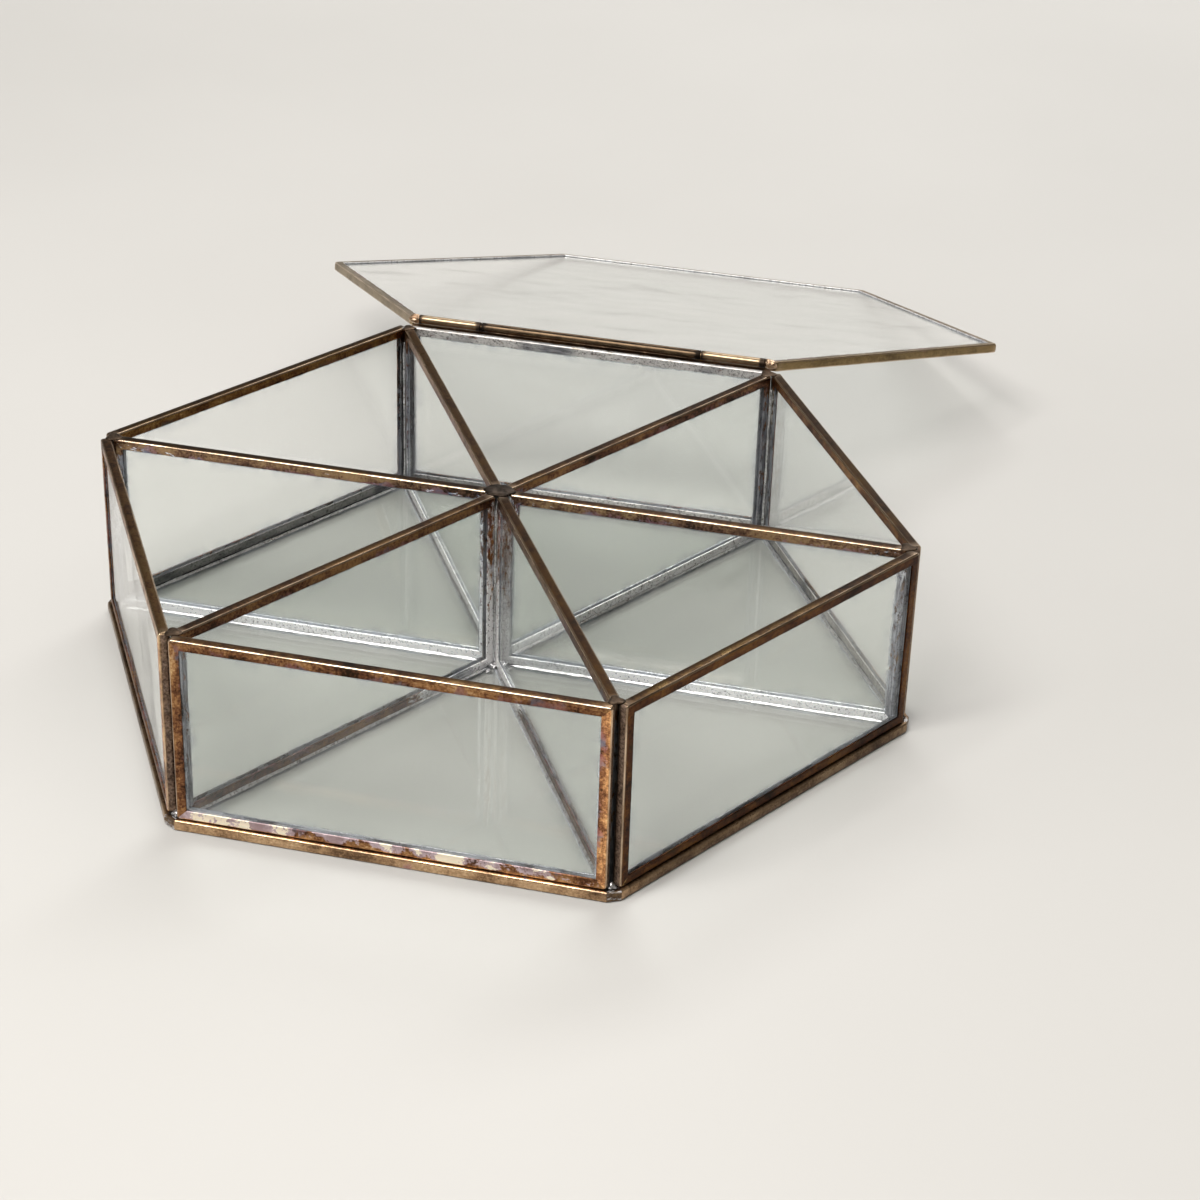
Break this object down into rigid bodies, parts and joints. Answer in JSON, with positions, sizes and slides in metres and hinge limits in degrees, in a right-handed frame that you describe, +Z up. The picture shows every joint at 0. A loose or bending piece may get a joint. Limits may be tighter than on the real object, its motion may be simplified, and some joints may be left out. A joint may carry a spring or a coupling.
{
  "type": "hexagonal glass keepsake box",
  "caption": "Low hexagonal glass box with a hinged glass lid, edged in brass channel and divided by glass panes into triangular compartments.",
  "frame": {"origin": "centre of the underside of the base, on the surface the box stands on", "axes": "+Z up; +Y from the front wall to the hinge at the back; +X to the right seen from the front, through two opposite corners of the hexagon"},
  "size_m": [0.2456, 0.419, 0.0615],
  "materials": {
    "aged_brass": "aged copper-brown patina on folded brass channel, bright where the edges rub",
    "bright_brass": "polished hinge tube and pin",
    "dark_brass": "dark patina on the middle hinge knuckle",
    "dark_solder": "flat solder cap with a dark patina",
    "soft_solder": "grey soft solder, hand run",
    "coppered_solder": "lumpy solder with a copper patina",
    "clear_glass": "clear sheet glass, very faintly grey-green"
  },
  "bodies": {
    "box": {"base_channel": "aged_brass", "base_glass": "clear_glass", "front_wall_frame": "aged_brass", "front_wall_glass": "clear_glass", "front_right_wall_frame": "aged_brass", "front_right_wall_glass": "clear_glass", "back_right_wall_frame": "aged_brass", "back_right_wall_glass": "clear_glass", "back_wall_frame": "aged_brass", "back_wall_glass": "clear_glass", "back_left_wall_frame": "aged_brass", "back_left_wall_glass": "clear_glass", "front_left_wall_frame": "aged_brass", "front_left_wall_glass": "clear_glass", "right_divider_frame": "aged_brass", "right_divider_glass": "clear_glass", "back_right_divider_frame": "aged_brass", "back_right_divider_glass": "clear_glass", "back_left_divider_frame": "aged_brass", "back_left_divider_glass": "clear_glass", "left_divider_frame": "aged_brass", "left_divider_glass": "clear_glass", "front_left_divider_frame": "aged_brass", "front_left_divider_glass": "clear_glass", "front_right_divider_frame": "aged_brass", "front_right_divider_glass": "clear_glass", "hub_cap": "dark_solder", "rim_solder": "soft_solder", "groove_solder": "soft_solder", "box_knuckle": "dark_brass"},
    "lid": {"lid_channel": "aged_brass", "lid_glass": "clear_glass", "lid_knuckle_left": "bright_brass", "lid_knuckle_right": "bright_brass", "hinge_pin": "bright_brass", "hinge_end_solder": "coppered_solder"}
  },
  "joints": [
    {"name": "lid_hinge", "type": "hinge", "parent": "box", "child": "lid", "pos_m": [0, 0.1074, 0.06], "axis": [1, 0, 0], "range_deg": [0, 195.7]}
  ]
}
